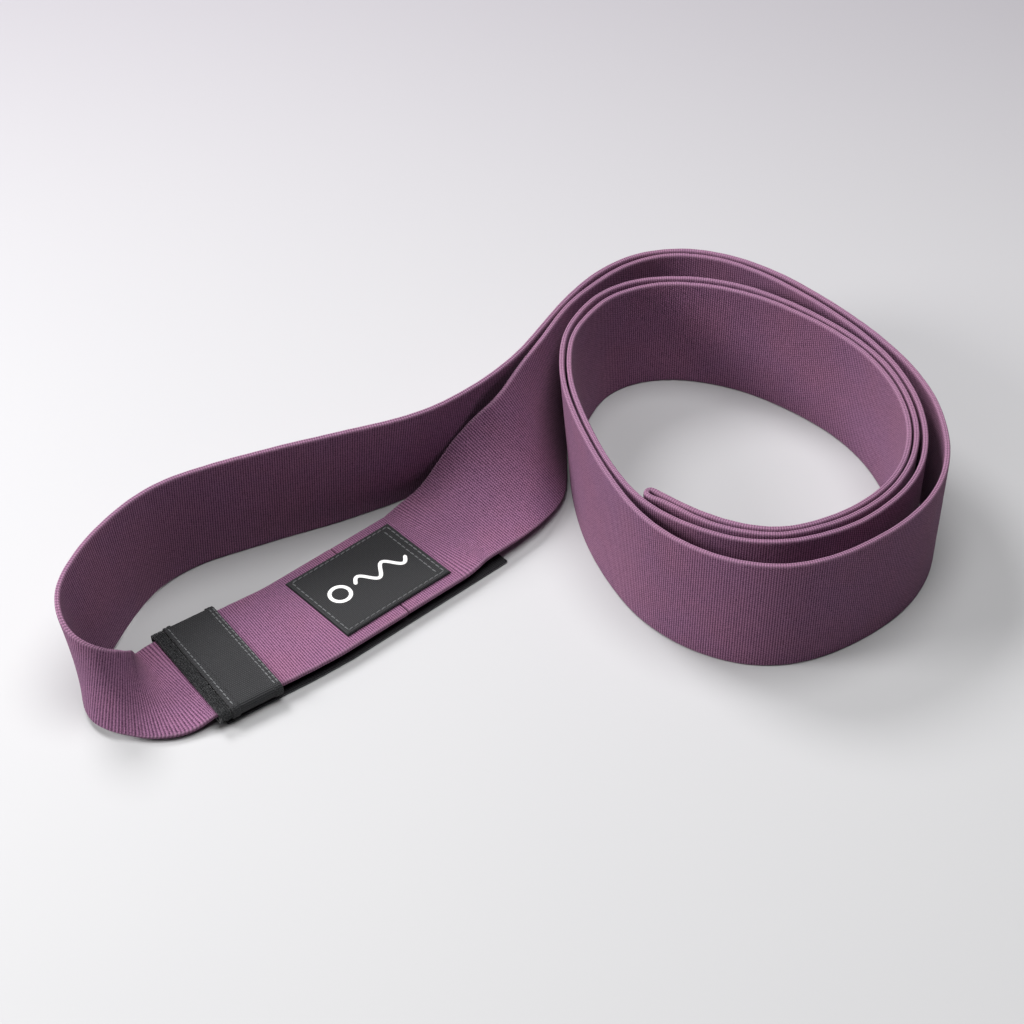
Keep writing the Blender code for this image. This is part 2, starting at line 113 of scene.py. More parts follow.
# ---- looks, in millimetres and linear colours -------------------------------------------
RIB_PITCH = 0.95         # ribs across the webbing
BEAD_PITCH = 0.95
LABEL_PITCH = 0.7
KEEPER_PITCH = 0.8
# The groove colours are painted shade: far darker than the crests, they stand for the shade in the
# hollows between the ribs.
WEBBING_GROOVE_SHADE = (0.028, 0.011, 0.028)
WEBBING_GROOVE_SHADE_WARM = (0.034, 0.012, 0.028)
WEBBING_CREST = (0.300, 0.142, 0.252)
WEBBING_CREST_WARM = (0.320, 0.145, 0.244)
# Lighter rims: partly a lighter edge thread, partly a painted highlight for the edge that catches the top
# light.
WEBBING_RIM_THREAD_AND_HIGHLIGHT = (0.26, 0.15, 0.22)
FLOOR_COLOUR = (0.44, 0.44, 0.444)
FLOOR_COLOUR_COOL = (0.43, 0.43, 0.44)
# Painted shade: the floor darkens towards the back, standing in for the light falling off.
FLOOR_FALLOFF_SHADE = (0.345, 0.328, 0.356)
FINE_TURN = 2.0          # degrees of bend or lean between the fine strap's stations
FINE_STEP = 2.0          # the longest step between them
FINE_THICK = 2.1
STITCH_LONG = 2.1        # length of one visible stitch
STITCH_PITCH = 2.6
STITCH_RADIUS = 0.24
PILE_HAIRS = 5200
EASE_AT = 110.0          # travel at the middle of the stretch where the edges are rounded off
EASE_REACH = 34.0
EASE_SPAN = 15.0
JOINT_ROW_AT = 3.0       # stitch rows either side of the butted ends

CAMERA_LENS = 77.34        # on a 36 mm sensor
CAMERA_ELEVATION = 42.0    # degrees
CAMERA_DISTANCE = 0.865    # metres

# Centre line of the webbing after the straight run: x, y, height of the mid-line (mm) and lean
# of the width away from vertical (degrees, positive towards the right of travel).
UPRIGHT = 25.3
HAND_LOOP = [
    (-123.2, -101.0, 5.2, 85.0),
    (-127.6, -105.0, 7.4, 72.0),
    (-133.2, -109.2, 12.0, 45.0),
    (-138.4, -111.6, 15.8, 22.0),
    (-144.2, -111.2, 18.0, 8.0),
    (-149.8, -107.2, 19.6, -1.0),
    (-154.2, -99.8, 21.2, -6.0),
    (-155.2, -90.0, 22.4, -9.0),
    (-152.2, -79.0, 23.6, -10.0),
    (-148.0, -68.0, 24.4, -9.0),
    (-142.0, -56.0, 25.0, -5.0),
    (-132.5, -42.5, UPRIGHT, 0.0),
    (-118.5, -31.5, UPRIGHT, 4.0),
]
BACK_RUN = [
    (-102.0, -23.5, UPRIGHT, 5.0),
    (-86.0, -16.5, UPRIGHT, 6.0),
    (-70.0, -10.0, UPRIGHT, 7.0),
    (-55.0, -3.5, UPRIGHT, 9.0),
    (-41.0, 3.5, 25.1, 11.0),
    (-28.8, 11.9, 25.0, 12.0),
    (-16.5, 20.8, 25.1, 9.0),
    (-5.6, 30.9, UPRIGHT, 6.0),
    (4.2, 43.0, UPRIGHT, 3.0),
    (12.2, 56.0, UPRIGHT, 1.0),
]
OUTER_TURN = [
    (20.0, 69.5, UPRIGHT, 0.0),
    (28.0, 82.0, UPRIGHT, 0.0),
    (38.0, 93.5, UPRIGHT, 0.0),
    (51.0, 102.5, UPRIGHT, 0.0),
    (66.0, 106.5, UPRIGHT, 0.0),
    (80.0, 105.5, UPRIGHT, 0.0),
    (94.0, 100.0, UPRIGHT, 0.0),
    (108.0, 90.5, UPRIGHT, 0.0),
    (122.0, 77.0, UPRIGHT, 0.0),
    (135.5, 61.0, UPRIGHT, 0.0),
    (147.0, 44.0, UPRIGHT, 0.0),
    (156.0, 26.0, UPRIGHT, 0.0),
    (161.0, 9.0, UPRIGHT, 0.0),
    (162.5, -7.0, UPRIGHT, 0.0),
    (161.5, -22.0, UPRIGHT, 0.0),
    (158.0, -35.0, UPRIGHT, 0.0),
    (150.5, -49.0, UPRIGHT, 0.0),
    (140.0, -61.0, UPRIGHT, 0.0),
    (128.0, -70.5, UPRIGHT, 0.0),
    (114.0, -78.5, UPRIGHT, 0.0),
    (99.0, -83.0, UPRIGHT, 0.0),
    (84.0, -82.5, UPRIGHT, 0.0),
    (70.0, -77.5, UPRIGHT, 0.0),
    (57.5, -69.0, UPRIGHT, 0.0),
    (47.0, -57.5, UPRIGHT, 0.0),
    (39.0, -43.5, UPRIGHT, 0.0),
    (32.5, -28.0, UPRIGHT, 0.0),
    (27.5, -12.0, UPRIGHT, -1.0),
]
SECOND_TURN = [
    (24.0, 4.0, UPRIGHT, -3.0),
    (22.0, 20.0, UPRIGHT, -5.0),
    (22.0, 36.0, UPRIGHT, -6.0),
    (23.5, 50.0, UPRIGHT, -5.0),
    (28.5, 64.0, UPRIGHT, -3.0),
    (37.0, 76.5, UPRIGHT, -1.0),
    (48.0, 84.0, UPRIGHT, 0.0),
    (60.0, 87.0, UPRIGHT, 0.0),
    (73.0, 87.0, UPRIGHT, 0.0),
    (87.0, 84.0, UPRIGHT, 0.0),
    (101.0, 77.5, UPRIGHT, 0.0),
    (114.0, 68.5, UPRIGHT, 0.0),
    (126.5, 57.0, UPRIGHT, 0.0),
    (138.0, 43.0, UPRIGHT, 0.0),
    (146.5, 27.0, UPRIGHT, 0.0),
    (151.0, 10.0, UPRIGHT, 0.0),
    (152.0, -6.0, UPRIGHT, 0.0),
    (149.5, -21.0, UPRIGHT, 0.0),
    (143.5, -35.0, UPRIGHT, 0.0),
    (134.0, -47.5, UPRIGHT, 0.0),
    (121.5, -57.5, UPRIGHT, 0.0),
    (108.0, -64.0, UPRIGHT, 0.0),
    (94.0, -67.0, UPRIGHT, 0.0),
    (79.0, -64.5, UPRIGHT, 0.0),
    (65.0, -57.5, UPRIGHT, 0.0),
]
FOLD = [
    (53.0, -48.6, UPRIGHT, 0.0),
    (49.9, -46.6, UPRIGHT, 0.0),
    (48.8, -44.6, UPRIGHT, 0.0),
    (49.9, -43.2, UPRIGHT, 0.0),
    (52.4, -44.2, UPRIGHT, 0.0),
]
INNER_TURN = [
    (66.5, -54.8, UPRIGHT, 0.0),
    (80.0, -61.5, UPRIGHT, 0.0),
    (94.0, -64.2, UPRIGHT, 0.0),
    (107.5, -61.3, UPRIGHT, 0.0),
    (120.0, -55.0, UPRIGHT, 0.0),
    (132.0, -45.5, UPRIGHT, 0.0),
    (141.0, -34.0, UPRIGHT, 0.0),
    (146.8, -20.5, UPRIGHT, 0.0),
    (149.2, -6.0, UPRIGHT, 0.0),
    (148.2, 9.5, UPRIGHT, 0.0),
    (143.5, 26.0, UPRIGHT, 0.0),
    (135.0, 42.0, UPRIGHT, 0.0),
    (124.0, 55.0, UPRIGHT, 0.0),
    (112.0, 65.5, UPRIGHT, 0.0),
    (99.5, 74.0, UPRIGHT, 0.0),
    (86.0, 80.0, UPRIGHT, 0.0),
    (73.0, 83.0, UPRIGHT, 0.0),
    (60.5, 83.0, UPRIGHT, 0.0),
    (49.0, 79.5, UPRIGHT, 0.0),
    (39.0, 72.5, UPRIGHT, 1.0),
    (31.5, 61.5, UPRIGHT, 3.0),
    (26.5, 49.0, UPRIGHT, 5.0),
    (24.9, 35.5, UPRIGHT, 6.0),
    (24.9, 20.0, UPRIGHT, 5.0),
    (26.8, 5.0, UPRIGHT, 3.0),
    (30.3, -11.0, UPRIGHT, 1.0),
]
THIRD_TURN = [
    (35.2, -26.5, UPRIGHT, 0.0),
    (42.0, -41.0, UPRIGHT, 0.0),
    (51.0, -53.0, UPRIGHT, 0.0),
    (63.0, -62.0, UPRIGHT, 0.0),
    (78.0, -69.0, UPRIGHT, 0.0),
    (94.0, -71.0, UPRIGHT, 0.0),
    (110.0, -67.5, UPRIGHT, 0.0),
    (124.5, -60.5, UPRIGHT, 0.0),
    (137.0, -50.0, UPRIGHT, 0.0),
    (147.0, -37.0, UPRIGHT, 0.0),
    (153.0, -22.0, UPRIGHT, 0.0),
    (155.2, -6.0, UPRIGHT, 0.0),
    (154.0, 11.0, UPRIGHT, 0.0),
    (149.5, 28.0, UPRIGHT, 0.0),
    (141.5, 45.0, UPRIGHT, 0.0),
    (130.5, 61.0, UPRIGHT, 0.0),
    (118.0, 75.5, UPRIGHT, 0.0),
    (105.0, 88.0, UPRIGHT, 0.0),
    (92.0, 97.0, UPRIGHT, 0.0),
    (79.0, 102.0, UPRIGHT, 0.0),
    (66.0, 103.2, UPRIGHT, 0.0),
    (53.0, 99.5, UPRIGHT, 0.0),
    (41.0, 91.0, UPRIGHT, 0.0),
    (31.5, 80.0, UPRIGHT, 1.0),
]
TWIST = [
    (24.0, 67.0, UPRIGHT, 5.0),
    (17.5, 49.0, 25.1, 11.0),
    (11.5, 30.0, 23.8, 23.0),
    (5.0, 12.5, 20.9, 38.0),
    (-4.2, 2.4, 16.0, 56.0),
    (-12.4, -5.0, 11.0, 74.0),
    (-20.0, -12.0, 7.6, 86.0),
    (-27.5, -19.2, 6.0, 90.0),
]


# ---- the flat run and its two straight parts --------------------------------------------
def unit(v):
    v = np.asarray(v, float)
    return v / np.linalg.norm(v)


class Flat:
    """A straight, level part of the run with its own axes."""

    def __init__(self, centre, heading):
        angle = math.radians(heading)
        self.centre = np.array(centre)
        self.along = np.array([math.cos(angle), math.sin(angle), 0.0])
        self.across = np.array([math.sin(angle), -math.cos(angle), 0.0])
        self.up = np.array([0.0, 0.0, 1.0])

    def point(self, s, v=0.0, h=0.0):
        """s along the travel, v across it towards the far edge and h above the mid-plane."""
        return self.centre + s * self.along + v * self.across + h * self.up

    def station(self, s):
        return np.r_[self.point(s), RUN_LEAN]


LABEL = Flat(LABEL_CENTRE, LABEL_HEADING)
KEEPER = Flat(KEEPER_CENTRE, KEEPER_HEADING)


# ---- the centre line --------------------------------------------------------------------
def clamped_spline(points, first, last):
    """Cubic spline through points with given end slopes; returns knots, points and slopes."""
    points = np.asarray(points, float)
    knots = np.r_[0.0, np.cumsum(np.linalg.norm(np.diff(points[:, :3], axis=0), axis=1))]
    count = len(points)
    step = np.diff(knots)
    lhs = np.eye(count)
    rhs = np.zeros_like(points)
    rhs[0] = first
    rhs[-1] = last
    for i in range(1, count - 1):
        before = step[i - 1]
        after = step[i]
        lhs[i, i - 1] = after
        lhs[i, i] = 2.0 * (before + after)
        lhs[i, i + 1] = before
        rhs[i] = 3.0 * (after * (points[i] - points[i - 1]) / before
                        + before * (points[i + 1] - points[i]) / after)
    return knots, points, np.linalg.solve(lhs, rhs)


def spline_at(spline, where):
    knots, points, slopes = spline
    i = np.clip(np.searchsorted(knots, where, side="right") - 1, 0, len(knots) - 2)
    span = (knots[i + 1] - knots[i])[:, None]
    t = (where - knots[i])[:, None] / span
    a = 2 * t ** 3 - 3 * t ** 2 + 1
    b = t ** 3 - 2 * t ** 2 + t
    c = -2 * t ** 3 + 3 * t ** 2
    d = t ** 3 - t ** 2
    return a * points[i] + b * span * slopes[i] + c * points[i + 1] + d * span * slopes[i + 1]


def strap_line(turn_step=9.0, longest=12.0):
    """Stations of the webbing's centre line: x, y, z and lean, closer together in tight bends."""
    start = [LABEL.station(LABEL_STRAIGHT)]
    end = [LABEL.station(-LABEL_STRAIGHT)]
    keeper = [KEEPER.station(s) for s in np.linspace(*KEEPER_STRAIGHT, 8)]
    route = (HAND_LOOP + BACK_RUN + OUTER_TURN + SECOND_TURN + FOLD
             + INNER_TURN + THIRD_TURN + TWIST)
    points = np.vstack([start, keeper, np.array(route), end])
    along = np.r_[LABEL.along, 0.0]
    spline = clamped_spline(points, along, along)
    fine = np.linspace(0.0, spline[0][-1], 12001)
    line = spline_at(spline, fine)
    heading = np.unwrap(np.arctan2(*np.gradient(line[:, 1::-1], axis=0).T))
    effort = (np.abs(np.gradient(heading)) / math.radians(turn_step)
              + np.abs(np.gradient(line[:, 3])) / turn_step
              + np.gradient(fine) / longest)
    effort = np.cumsum(effort)
    count = int(effort[-1]) + 2
    picks = np.interp(np.linspace(effort[0], effort[-1], count), effort, fine)
    picks[0] = fine[0]
    picks[-1] = fine[-1]
    middle = spline_at(spline, picks)
    first = LABEL.station(JOINT_GAP / 2)
    last = LABEL.station(-JOINT_GAP / 2)
    return np.vstack([first, middle, last])


def smooth(t):
    t = np.clip(t, 0.0, 1.0)
    return t * t * (3.0 - 2.0 * t)


def strap_half_widths(line):
    """Half the webbing's width at every station."""
    steps = np.linalg.norm(np.diff(line[:, :3], axis=0), axis=1)
    travel = np.r_[0.0, np.cumsum(steps)]
    left = travel[-1] - travel
    start = 1.0 - smooth((travel - NECK_START[0]) / (NECK_START[1] - NECK_START[0]))
    end = 1.0 - smooth((left - NECK_END[0]) / (NECK_END[1] - NECK_END[0]))
    gather = np.cos(np.clip((travel - GATHER_AT) / GATHER_REACH, -1.0, 1.0) * math.pi / 2) ** 2
    return STRAP_WIDTH / 2 * (1.0 - NECKING * np.maximum(start, end) - GATHER * gather)


def strap_frames(line):
    """Unit width and face vectors at every station of the centre line."""
    centre = line[:, :3]
    before = np.vstack([centre[:1], centre[:-1]])
    after = np.vstack([centre[1:], centre[-1:]])
    tangent = (after - centre) / np.maximum(np.linalg.norm(after - centre, axis=1), 1e-9)[:, None]
    tangent += (centre - before) / np.maximum(np.linalg.norm(centre - before, axis=1), 1e-9)[:, None]
    tangent /= np.linalg.norm(tangent, axis=1)[:, None]
    flat = tangent * [1.0, 1.0, 0.0]
    flat /= np.linalg.norm(flat, axis=1)[:, None]
    right = np.c_[flat[:, 1], -flat[:, 0], np.zeros(len(flat))]
    lean = np.radians(line[:, 3])[:, None]
    width = np.cos(lean) * np.array([0.0, 0.0, 1.0]) + np.sin(lean) * right
    width -= (width * tangent).sum(1)[:, None] * tangent
    width /= np.linalg.norm(width, axis=1)[:, None]
    face = np.cross(tangent, width)
    return width, face, tangent


# ---- meshes -----------------------------------------------------------------------------
CAD_LOW = np.array(cad_box[0]) / MM
CAD_HIGH = np.array(cad_box[1]) / MM
FABRIC_UV = "fabric"


def route_shift():
    """From the route's axes to the row frame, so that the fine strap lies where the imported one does."""
    line = strap_line()
    width, face, _ = strap_frames(line)
    half = strap_half_widths(line)[:, None]
    thick = STRAP_THICK / 2 * face
    edges = [line[:, :3] + a * half * width + b * thick for a in (-1, 1) for b in (-1, 1)]
    edges = np.vstack(edges)
    return (CAD_LOW + CAD_HIGH) / 2 - (edges.min(axis=0) + edges.max(axis=0)) / 2


def grid_faces(rows, columns, wrap_rows=False, wrap_columns=True):
    """Quads over a grid of points, as an index array."""
    i = np.arange(rows if wrap_rows else rows - 1)[:, None]
    j = np.arange(columns if wrap_columns else columns - 1)[None, :]
    a = i * columns + j
    b = i * columns + (j + 1) % columns
    c = ((i + 1) % rows) * columns + (j + 1) % columns
    d = ((i + 1) % rows) * columns + j
    return np.stack([a + 0 * b, b, c, d], axis=-1).reshape(-1, 4)


def make_piece(name, points, faces, material, uv=None, smooth_angle=50.0):
    """A mesh object in the row frame from points in millimetres on the route's axes."""
    mesh = bpy.data.meshes.new(name)
    places = (np.asarray(points, float) + SHIFT) * MM
    mesh.from_pydata(places.tolist(), [], [list(map(int, face)) for face in faces])
    if uv is not None:
        layer = mesh.uv_layers.new(name=FABRIC_UV)
        corner = np.empty(len(mesh.loops), np.int32)
        mesh.loops.foreach_get("vertex_index", corner)
        layer.data.foreach_set("uv", np.asarray(uv, np.float32)[corner].ravel())
    bm = bmesh.new()
    bm.from_mesh(mesh)
    bmesh.ops.recalc_face_normals(bm, faces=bm.faces)
    bm.to_mesh(mesh)
    bm.free()
    mesh.shade_smooth()
    mesh.set_sharp_from_angle(angle=math.radians(smooth_angle))
    mesh.materials.append(material)
    piece = bpy.data.objects.new(name, mesh)
    bpy.context.scene.collection.objects.link(piece)
    return piece


def ripple(where, waves):
    """A smooth uneven line: the sum of a few sines of (length, height, phase)."""
    return sum(height * np.sin(2 * math.pi * where / length + phase)
               for length, height, phase in waves)


# ---- materials --------------------------------------------------------------------------
class Nodes:
    """A small helper for building one material's node tree."""

    def __init__(self, name):
        self.material = bpy.data.materials.new(name)
        self.material.use_nodes = True
        self.tree = self.material.node_tree
        self.shader = self.tree.nodes["Principled BSDF"]

    def add(self, kind, **settings):
        node = self.tree.nodes.new(kind)
        for key, value in settings.items():
            setattr(node, key, value)
        return node

    def put(self, socket, value):
        if isinstance(value, bpy.types.NodeSocket):
            self.tree.links.new(value, socket)
        else:
            socket.default_value = value

    def math(self, operation, *values, clamp=False):
        node = self.add("ShaderNodeMath", operation=operation, use_clamp=clamp)
        for socket, value in zip(node.inputs, values):
            self.put(socket, value)
        return node.outputs[0]

    def ramp(self, value, low, high):
        """0 below low, 1 above high and smooth between."""
        node = self.add("ShaderNodeMapRange", interpolation_type="SMOOTHSTEP")
        self.put(node.inputs["Value"], value)
        self.put(node.inputs["From Min"], low)
        self.put(node.inputs["From Max"], high)
        return node.outputs["Result"]

    def wave(self, value, pitch, phase=0.0):
        """A sine of the given pitch, from 0 to 1."""
        turns = self.math("MULTIPLY_ADD", value, 2.0 * math.pi / pitch, phase)
        return self.math("MULTIPLY_ADD", self.math("SINE", turns), 0.5, 0.5)

    def along_across(self):
        """Millimetres along and across the fabric."""
        node = self.add("ShaderNodeUVMap", uv_map=FABRIC_UV)
        split = self.add("ShaderNodeSeparateXYZ")
        self.put(split.inputs[0], node.outputs["UV"])
        return split.outputs["X"], split.outputs["Y"]

    def noise(self, scale, detail=2.0, roughness=0.5, stretch=(1.0, 1.0, 1.0)):
        """Noise in object space; scale is per metre."""
        place = self.add("ShaderNodeTexCoord").outputs["Object"]
        mapping = self.add("ShaderNodeMapping")
        self.put(mapping.inputs["Vector"], place)
        self.put(mapping.inputs["Scale"], stretch)
        node = self.add("ShaderNodeTexNoise")
        self.put(node.inputs["Vector"], mapping.outputs["Vector"])
        self.put(node.inputs["Scale"], scale)
        self.put(node.inputs["Detail"], detail)
        self.put(node.inputs["Roughness"], roughness)
        return node.outputs["Fac"]

    def mix(self, share, first, second):
        node = self.add("ShaderNodeMix", data_type="RGBA")
        self.put(node.inputs["Factor"], share)
        colours = [s for s in node.inputs if s.type == "RGBA"]
        for socket, value in zip(colours, (first, second)):
            self.put(socket, (*value, 1.0) if isinstance(value, tuple) else value)
        return [s for s in node.outputs if s.type == "RGBA"][0]

    def bump(self, height, depth, strength=1.0):
        node = self.add("ShaderNodeBump")
        self.put(node.inputs["Height"], height)
        self.put(node.inputs["Distance"], depth * MM)
        self.put(node.inputs["Strength"], strength)
        self.put(self.shader.inputs["Normal"], node.outputs["Normal"])

    def finish(self, colour, rough, sheen=0.0, sheen_rough=0.5, sheen_tint=(1.0, 1.0, 1.0), gloss=0.5):
        self.put(self.shader.inputs["Base Color"], colour)
        self.put(self.shader.inputs["Roughness"], rough)
        self.put(self.shader.inputs["Sheen Weight"], sheen)
        self.put(self.shader.inputs["Sheen Roughness"], sheen_rough)
        self.put(self.shader.inputs["Sheen Tint"], (*sheen_tint, 1.0))
        self.put(self.shader.inputs["Specular IOR Level"], gloss)
        return self.material


def knit(nodes, rib_pitch, bead_pitch, turned=False):
    """Ribs across the fabric made of small beads, staggered from rib to rib; 0 to 1."""
    along, across = nodes.along_across()
    if turned:
        along, across = across, along
    rib = nodes.wave(along, rib_pitch)
    odd = nodes.math("FLOOR", nodes.math("MULTIPLY", along, 1.0 / rib_pitch))
    phase = nodes.math("MULTIPLY", nodes.math("MODULO", odd, 2.0), math.pi)
    bead = nodes.wave(across, bead_pitch, phase)
    return nodes.math("MULTIPLY", rib, nodes.math("MULTIPLY_ADD", bead, 0.65, 0.35)), along, across


def webbing_material():
    nodes = Nodes("purple_webbing_woven")
    weave, along, across = knit(nodes, RIB_PITCH, BEAD_PITCH)
    rim = nodes.ramp(nodes.math("ABSOLUTE", across), STRAP_WIDTH / 2 - 1.3, STRAP_WIDTH / 2 - 0.5)
    edge_weave = nodes.wave(along, RIB_PITCH)
    weave = nodes.math("ADD", nodes.math("MULTIPLY", weave, nodes.math("SUBTRACT", 1.0, rim)),
                       nodes.math("MULTIPLY", edge_weave, nodes.math("MULTIPLY", rim, 0.8)))
    fibres = nodes.noise(1900.0, 3.0, 0.6)
    height = nodes.math("ADD", weave, nodes.math("MULTIPLY", fibres, 0.35))
    # tone follows the weave's height, so the hollows get painted shade (the groove colours) and the
    # crests the thread's own purple; the fibre noise adds uneven tone
    tone = nodes.ramp(nodes.math("ADD", nodes.math("MULTIPLY", weave, 0.6),
                                 nodes.math("MULTIPLY", fibres, 0.75)), 0.15, 0.9)
    cloudy = nodes.ramp(nodes.noise(30.0, 3.0, 0.6), 0.3, 0.7)
    groove = nodes.mix(cloudy, WEBBING_GROOVE_SHADE, WEBBING_GROOVE_SHADE_WARM)
    crest = nodes.mix(cloudy, WEBBING_CREST, WEBBING_CREST_WARM)
    colour = nodes.mix(tone, groove, crest)
    # the rim colour is partly lighter edge thread, partly painted highlight along both rims
    colour = nodes.mix(nodes.math("MULTIPLY", rim, 0.45), colour, WEBBING_RIM_THREAD_AND_HIGHLIGHT)
    rough = nodes.math("MULTIPLY_ADD", weave, -0.12, 0.9)
    nodes.bump(height, 0.17, 1.0)
    return nodes.finish(colour, rough, 0.04, 0.45, (1.0, 0.86, 0.96), 0.1)


def cloth_material(name, dark, light, rib, bead, depth=0.18, turned=False, sheen=0.1, gloss=0.4):
    """A plain close weave in two shades; the dark one is painted shade in the weave's hollows."""
    nodes = Nodes(name)
    weave, _, _ = knit(nodes, rib, bead, turned)
    fibres = nodes.noise(2600.0, 3.0, 0.65)
    # tone follows the weave's height: the hollows get painted shade, the crests the lighter shade
    tone = nodes.ramp(nodes.math("ADD", nodes.math("MULTIPLY", weave, 0.7),
                                 nodes.math("MULTIPLY", fibres, 0.5)), 0.2, 0.9)
    nodes.bump(nodes.math("ADD", weave, nodes.math("MULTIPLY", fibres, 0.4)), depth)
    rough = nodes.math("MULTIPLY_ADD", fibres, -0.25, 0.85)
    return nodes.finish(nodes.mix(tone, dark, light), rough, sheen, 0.4, (1.0, 1.0, 1.0), gloss)


def thread_material(name, dark, light):
    """Twisted sewing thread: fine slanted plies, from object-space noise."""
    nodes = Nodes(name)
    plies = nodes.noise(3200.0, 2.0, 0.6, (1.0, 1.6, 2.2))
    nodes.bump(plies, 0.08)
    tone = nodes.ramp(plies, 0.35, 0.65)
    return nodes.finish(nodes.mix(tone, dark, light), 0.6, 0.15, 0.4, (1.0, 1.0, 1.0), 0.4)


def print_material():
    """White print worn thin by the weave under it."""
    nodes = Nodes("white_print_worn")
    weave, _, _ = knit(nodes, LABEL_PITCH, LABEL_PITCH)
    fibres = nodes.noise(2400.0, 3.0, 0.6)
    worn = nodes.ramp(nodes.math("ADD", nodes.math("MULTIPLY", weave, 0.3), fibres), 0.3, 0.5)
    nodes.bump(nodes.math("ADD", weave, fibres), 0.08)
    colour = nodes.mix(worn, (0.55, 0.55, 0.56), (0.88, 0.88, 0.87))
    return nodes.finish(colour, nodes.math("MULTIPLY_ADD", fibres, 0.2, 0.5), gloss=0.4)


def floor_material():
    nodes = Nodes("pale_floor")
    grain = nodes.noise(6.0, 2.0, 0.5)
    split = nodes.add("ShaderNodeSeparateXYZ")
    nodes.put(split.inputs[0], nodes.add("ShaderNodeTexCoord").outputs["Object"])
    # painted falloff: the floor colour is mixed towards a darker one towards the back (y)
    far = nodes.ramp(split.outputs["Y"], -0.10, 0.65)
    near = nodes.mix(grain, FLOOR_COLOUR, FLOOR_COLOUR_COOL)
    return nodes.finish(nodes.mix(far, near, FLOOR_FALLOFF_SHADE), 0.7, gloss=0.2)


# ---- the webbing ------------------------------------------------------------------------
def strap_section(half):
    """(v, h) points round the webbing: flat faces and rims with a shallow groove along them."""
    t = FINE_THICK / 2
    rim = [(half - 1.6, t), (half - 0.7, t - 0.04), (half - 0.22, t - 0.24), (half, t - 0.6),
           (half - 0.05, t - 0.9), (half - 0.22, 0.0)]
    top = [(v, t) for v in np.linspace(-half + 4.5, half - 4.5, 9)]
    right = rim + [(v, -h) for v, h in rim[-2::-1]]
    left = [(-v, -h) for v, h in right]
    bottom = [(-v, -h) for v, h in top]
    return top + right + bottom + left


def eased(rows, travel, reach):
    """Every row averaged with the rows within reach of it along the travel."""
    share = np.gradient(travel)[:, None]
    out = np.empty_like(rows)
    for i, at in enumerate(travel):
        near = np.abs(travel - at) <= reach
        out[i] = (rows[near] * share[near]).sum(axis=0) / share[near].sum()
    return out


def make_strap():
    line = strap_line(FINE_TURN, FINE_STEP)
    width, _, tangent = strap_frames(line)
    halves = strap_half_widths(line)
    travel = np.r_[0.0, np.cumsum(np.linalg.norm(np.diff(line[:, :3], axis=0), axis=1))]
    arms = width * halves[:, None]
    place = np.clip((travel - EASE_AT) / EASE_REACH, -1.0, 1.0)
    arms += (np.cos(place * math.pi / 2) ** 2)[:, None] * (eased(arms, travel, EASE_SPAN) - arms)
    halves = np.linalg.norm(arms, axis=1)
    width = arms / halves[:, None]
    face = np.cross(tangent, width)
    face /= np.linalg.norm(face, axis=1)[:, None]
    wobble = ripple(travel, [(61.0, 0.05, 0.4), (23.0, 0.04, 1.9), (8.7, 0.03, 4.0)])
    points = []
    uv = []
    for c, w, f, half, along, wave in zip(line[:, :3], width, face, halves, travel, wobble):
        for v, h in strap_section(half):
            near_rim = max(0.0, abs(v) - half + 4.0) / 4.0
            points.append(c + (v + wave * near_rim * math.copysign(1.0, v)) * w + h * f)
            uv.append((along, v / half * STRAP_WIDTH / 2))
    size = len(strap_section(halves[0]))
    count = len(line)
    faces = grid_faces(count, size).tolist()
    faces.append(list(range(size)))
    faces.append(list(range((count - 1) * size, count * size)))
    return make_piece("strap_woven_elastic", points, faces, webbing_material(), uv), travel[-1]


# ---- layers sewn to the run -------------------------------------------------------------
def layer(name, stations, sides, half, low, high, material, round_off=0.3):
    """A thin flat strip with rounded edges along some stations, between two heights over the floor."""
    profile = [(-half + round_off, high), (half - round_off, high), (half, (low + high) / 2),
               (half - round_off, low), (-half + round_off, low), (-half, (low + high) / 2)]
    points = []
    uv = []
    travel = 0.0
    before = stations[0]
    for place, side in zip(stations, sides):
        travel += np.linalg.norm(place - before)
        before = place
        for v, z in profile:
            p = place + v * side
            points.append((p[0], p[1], z))
            uv.append((travel, v))
    size = len(profile)
    count = len(stations)
    faces = grid_faces(count, size).tolist()
    faces.append(list(range(size)))
    faces.append(list(range((count - 1) * size, count * size)))
    return make_piece(name, points, faces, material, uv), travel


def backing_line(step=3.0):
    """Stations of the backing strip's middle and its sideways directions."""
    marks = [LABEL.point(-BACKING_TAIL), LABEL.point(0.0), LABEL.point(LABEL_STRAIGHT),
             KEEPER.point(KEEPER_STRAIGHT[0]), KEEPER.point(0.0), KEEPER.point(BACKING_HEAD)]
    across = [LABEL.across] * 3 + [KEEPER.across] * 3
    places = []
    sides = []
    for a, b, sa, sb in zip(marks[:-1], marks[1:], across[:-1], across[1:]):
        count = max(1, int(np.linalg.norm(b - a) / step))
        for k in range(count):
            t = k / count
            places.append(a + (b - a) * t)
            sides.append(unit(sa + (sb - sa) * t))
    places.append(marks[-1])
    sides.append(across[-1])
    return [p + BACKING_SHIFT * side for p, side in zip(places, sides)], sides


